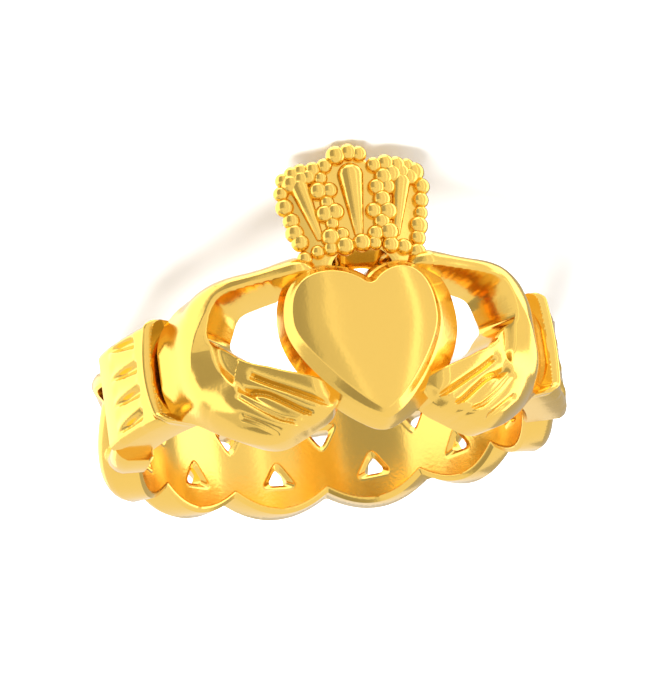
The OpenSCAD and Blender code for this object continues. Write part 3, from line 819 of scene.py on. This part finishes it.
# %% [markdown]
# ### Its ribs
# Three drops like grains of rice, as a jeweller would solder on. A sphere stretched with
# Scale would be alike at both ends. A profile turned about its own axis can be narrow at
# the foot and round at the top, and the same function turns the beads below.

# %% Turned shapes on the crown


def turned(profile, frames, around):
    """A profile of (radius, length) turned about the third axis of each frame. The frames
    hold an origin and three axes; the profile's two ends lie on the axis and close it."""
    turn = np.linspace(0, 2 * np.pi, around, endpoint=False)
    r, height = np.array(profile[1:-1]).T[:, :, None]
    ring = np.stack(np.broadcast_arrays(r * np.cos(turn), r * np.sin(turn), height), -1)
    poles = np.array([(0, 0, profile[0][1])]), np.array([(0, 0, profile[-1][1])])
    local = np.concatenate([poles[0], ring.reshape(-1, 3), poles[1]])
    quads, ends = closed_rows(len(r), around)
    copies = np.arange(len(frames))[:, None, None] * len(local)
    faces = (quads + copies).reshape(-1, 4).tolist() + (ends + copies).reshape(-1, 3).tolist()
    return np.concatenate([origin + local @ axes for origin, axes in frames]), faces


def crown_frame(x, z, lean=0.0, out=0.0, size=1.0):
    """Origin and axes at a place on the crown's face: outwards, sideways and upwards, with
    the upward axis leaned to the right by an angle in degrees. Outwards is a little shorter,
    so that what stands there is flattened."""
    a, tip = x / crown_r, np.radians(lean)
    up = np.array([0, 0, 1.0])
    across = np.array([np.cos(a), np.sin(a), 0])
    outward = 0.85 * np.array([np.sin(a), -np.cos(a), 0])
    along = np.cos(tip) * up + np.sin(tip) * across
    sideways = np.cos(tip) * across - np.sin(tip) * up
    return on_ring(np.degrees(a), crown_r + out, z), np.stack([outward, sideways, along]) * size


print("the crown's face has a radius of", crown_r, "mm")

# %% Three ribs


def rib(start, end, wide, narrow):
    """A drop between two places, narrow at the foot and round at the top."""
    start, end = np.array(start), np.array(end)
    length = np.hypot(*(end - start))
    lean = np.degrees(np.arctan2(*(end - start)))
    half, slim, neck = wide / 2, narrow / 2, length - wide / 2
    foot = [(slim * np.sin(t), slim * (1 - np.cos(t)) * 0.6) for t in np.radians([30, 60, 90])]
    top = [(half * np.cos(t), neck + half * np.sin(t)) for t in np.radians(np.arange(0, 90, 9))]
    profile = [(0, 0)] + foot + top + [(0, length)]
    return turned(profile, [crown_frame(*start, lean, -0.05)], 40)


rib_foot = crown_foot + 0.85
middle_rib = (0, rib_foot), (0, crown_valley + 0.25), rib_w, rib_w * 0.36
rib_pieces = [add_piece("crown_rib", *rib(*middle_rib))]
for name, side in (("crown_rib_right", 1), ("crown_rib_left", -1)):
    start, end = (side * 1.85, rib_foot), (side * 2.62, crown_valley - 0.3)
    rib_pieces.append(add_piece(name, *rib(start, end, rib_w * 0.75, rib_w * 0.3)))

# %% [markdown]
# ### Its beads
# The beads of a cast crown are a little uneven and run into each other. An array modifier
# would set them out too evenly, so each has its own size and place, drawn from a seeded row
# of random numbers that is the same in every run.

# %% Places of the beads
# Columns beside the middle rib: each row of beads has these places across, in bead widths.
BEAD_COLUMNS = ((-0.35, 0.4), (0.0,), (-0.42, 0.38), (-0.05,), (-0.4, 0.36), (0.1,))
# Rows along the fan's edge and its arches: start, end, rise of the bow and count.
BEAD_ROWS = [
    ((crown_foot_half + 0.02, crown_foot + 0.8), (crown_half - 0.2, crown_shoulder - 0.1), 0, 5),
    ((crown_half - 0.35, crown_shoulder + 0.6), (crown_half * 0.5, crown_valley + 0.1), 0.16, 4),
    ((crown_half - 0.75, crown_shoulder + 0.45), (crown_half * 0.55, crown_valley - 0.35), 0.1, 3),
    ((crown_half * 0.33, crown_valley + 0.12), (0.62, crown_peak - 0.16), 0, 2),
]
columns = [
    (1.16 + 0.07 * row + place * bead_d, crown_foot + 1.0 + 0.58 * row)
    for row, places in enumerate(BEAD_COLUMNS) for place in places
]
beads_right = np.concatenate([columns] + [arch(*row) for row in BEAD_ROWS])
foot_end, foot_z = crown_foot_half - 0.1, crown_foot + 0.05
foot_row = arch((-foot_end, foot_z), (foot_end, foot_z), 0.5, 9)
bead_places = np.concatenate([
    beads_right * (-1, 1), beads_right, foot_row, [(0, crown_peak - 0.02)],
])
print(len(bead_places), "beads")

# %% Uneven beads
rng = np.random.default_rng(7)
shift = rng.uniform(-0.08, 0.08, bead_places.shape)
sizes = rng.uniform(0.85, 1.22, len(bead_places))
across, heights = (bead_places + shift).T
across = across * np.where(bead_places[:, 0] < 0, crown_left, 1)
heights = np.minimum(heights, crown_peak)
bead_frames = [crown_frame(x, z, size=size) for x, z, size in zip(across, heights, sizes)]
half_circle = [(bead_r * np.sin(t), -bead_r * np.cos(t)) for t in np.linspace(0, np.pi, 15)]
bead_piece = add_piece("crown_beads", *turned(half_circle, bead_frames, 24))

# %% [markdown]
# ## Gold
# Polished yellow gold is a metal whose own colour tints what it mirrors. A photograph of gold
# wrapped round the mesh would carry its own reflections with it. The Principled shader with
# Metallic at 1 mirrors the studio instead. Polish is never quite even, so a soft noise moves
# its roughness a little, and a fine grain takes the hardness off the reflections.

# %% Shader expressions


class Wire:
    """A socket that can be used in Python expressions: each operator adds a Math node."""

    def __init__(self, tree, socket):
        """Holds the node tree and one output socket in it."""
        self.tree, self.socket = tree, socket

    @classmethod
    def node(cls, tree, kind, inputs=None, output=0, **settings):
        """Adds a node: its settings first, then the values or wires of its inputs, by name
        or by number. Returns the wire of one output."""
        made = tree.nodes.new(kind)
        for key, value in settings.items():
            setattr(made, key, value)
        for key, value in (inputs or {}).items():
            if isinstance(value, cls):
                tree.links.new(value.socket, made.inputs[key])
            else:
                made.inputs[key].default_value = value
        return cls(tree, made.outputs[output])

    def __add__(self, other):
        """self + other"""
        return Wire.node(self.tree, "ShaderNodeMath", {0: self, 1: other}, operation="ADD")

    def __mul__(self, other):
        """self * other"""
        return Wire.node(self.tree, "ShaderNodeMath", {0: self, 1: other}, operation="MULTIPLY")

    __radd__, __rmul__ = __add__, __mul__


print("a wire understands + and *")

# %% Polished gold
gold = bpy.data.materials.new("polished_gold")
gold.use_nodes = True
tree = gold.node_tree
shader = tree.nodes["Principled BSDF"]
shader.inputs["Metallic"].default_value = 1.0
shader.inputs["Base Color"].default_value = (0.93, 0.6, 0.13, 1)
place = Wire.node(tree, "ShaderNodeTexCoord", output="Object")
clouds = {"Vector": place, "Scale": 450.0, "Detail": 3.0}
grains = {"Vector": place, "Scale": 6000.0, "Detail": 2.0}
cloud = Wire.node(tree, "ShaderNodeTexNoise", clouds, "Fac")
grain = Wire.node(tree, "ShaderNodeTexNoise", grains, "Fac")
roughness = 0.13 + 0.08 * cloud
hollows = {"Strength": 0.04, "Distance": 0.0001, "Height": grain}
bump = Wire.node(tree, "ShaderNodeBump", hollows, "Normal")
tree.links.new(roughness.socket, shader.inputs["Roughness"])
tree.links.new(bump.socket, shader.inputs["Normal"])
print(gold.name, "has", len(tree.nodes), "nodes")

# %% [markdown]
# ## One casting
# All pieces are the same metal and none of them moves. Each one rides on the ring's body and
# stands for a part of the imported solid, which is then hidden.

# %% Pieces of the ring
pieces = [
    heart_piece, hand_right, hand_left, cuff_right, cuff_left, plait_piece, crown_piece,
    bead_piece, *rib_pieces,
]
for piece in pieces:
    piece.data.materials.append(gold)
    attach(piece, "root")
    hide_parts("ring")
print(len(pieces), "pieces of gold")

# %% [markdown]
# ## Floor
# A pale, plain sheet of paper. It could be Blender's own plane; four points say its size in
# metres. It is left out of the reflections, because the photograph has nothing but white
# below the ring.

# %% Sheet of paper
half_sheet = 0.6
corners = [(-half_sheet, -half_sheet, 0), (half_sheet, -half_sheet, 0)]
corners += [(half_sheet, half_sheet, 0), (-half_sheet, half_sheet, 0)]
floor_mesh = bpy.data.meshes.new("floor")
floor_mesh.from_pydata(corners, [], [(0, 1, 2, 3)])
paper = bpy.data.materials.new("floor_paper")
paper.use_nodes = True
paper_shader = paper.node_tree.nodes["Principled BSDF"]
paper_shader.inputs["Base Color"].default_value = (0.92, 0.92, 0.92, 1)
paper_shader.inputs["Roughness"].default_value = 0.9
floor_mesh.materials.append(paper)
floor = bpy.data.objects.new("floor", floor_mesh)
floor.visible_glossy = False
bpy.context.scene.collection.objects.link(floor)
print("a floor of", 2 * half_sheet, "m a side")

# %% [markdown]
# ## Light
# Polished gold shows little but its surroundings. Lamps alone would leave it dark with a few
# sharp spots. So the studio is white all round, one large lamp gives the shadow, and cards
# that only the reflections see darken or brighten parts of it, as black and white cards do in
# a photographer's light tent.

# %% White studio and key lamp
world = bpy.data.worlds.new("studio")
world.use_nodes = True
world.node_tree.nodes["Background"].inputs["Color"].default_value = (1, 1, 1, 1)
world.node_tree.nodes["Background"].inputs["Strength"].default_value = 1.0
bpy.context.scene.world = world
bpy.context.scene.view_settings.view_transform = "Standard"

lamp = bpy.data.lights.new("key", "AREA")
lamp.size, lamp.energy = 0.09, 0.5
key_place = Vector(lay_down([-60.0, -60.0, -110.0]))
key = bpy.data.objects.new("key", lamp)
key.location = key_place
key.rotation_euler = (Vector(bore_middle * MM) - key_place).to_track_quat("-Z", "Y").to_euler()
key.visible_glossy = False
bpy.context.scene.collection.objects.link(key)
print("key lamp of", lamp.energy, "W,", round(key_place.z, 3), "m over the floor")

# %% Cards round the ring
# Angles round the upright ring, climbs towards the crown, and strength. White is 1.
CARDS = {
    "card_left": ((-160, -62), (-12, 60), 1.75),
    "card_dark_left": ((-60, -20), (0, 58), 0.45),
    "card_grey_left": ((-19, -6), (-10, 58), 0.78),
    "card_edge": ((-5, -2.6), (-20, 50), 1.35),
    "card_streak": ((31, 39), (-40, 60), 1.6),
    "card_right": ((66, 100), (-30, 58), 2.4),
    "card_dark_right": ((101, 150), (-30, 50), 0.5),
    "card_tan": ((-105, -42), (-34, -13), 0.75),
    "card_low_left": ((-110, -55), (-80, -36), 0.38),
    "card_top": ((-170, 170), (62, 88), 2.6),
}
card_r, card_columns, card_rows = 90.0, 9, 7


def card(name, angles, climbs, strength):
    """A curved patch of a sphere round the ring's middle, given by its angles and climbs in
    degrees: (angle, r cos climb, r sin climb) on the ring. Only reflections see it."""
    climb = np.radians(np.linspace(*climbs, card_rows))
    a, b = np.meshgrid(np.linspace(*angles, card_columns), climb, indexing="ij")
    points = on_ring(a, card_r * np.cos(b), card_r * np.sin(b)).reshape(-1, 3)
    ids = np.arange(a.size).reshape(a.shape)
    faces = np.stack([ids[:-1, :-1], ids[1:, :-1], ids[1:, 1:], ids[:-1, 1:]], -1).reshape(-1, 4)
    mesh = bpy.data.meshes.new(name)
    mesh.from_pydata(lay_down(points), [], faces.tolist())
    paint = bpy.data.materials.new(name)
    paint.use_nodes = True
    sockets = paint.node_tree.nodes["Principled BSDF"].inputs
    sockets["Base Color"].default_value = (0, 0, 0, 1)
    sockets["Emission Color"].default_value = (1, 1, 1, 1)
    sockets["Emission Strength"].default_value = strength
    mesh.materials.append(paint)
    board = bpy.data.objects.new(name, mesh)
    board.visible_camera = board.visible_diffuse = board.visible_shadow = False
    bpy.context.scene.collection.objects.link(board)


for name, (angles, climbs, strength) in CARDS.items():
    card(name, angles, climbs, strength)
print(len(CARDS), "cards,", card_r, "mm from the ring's middle")
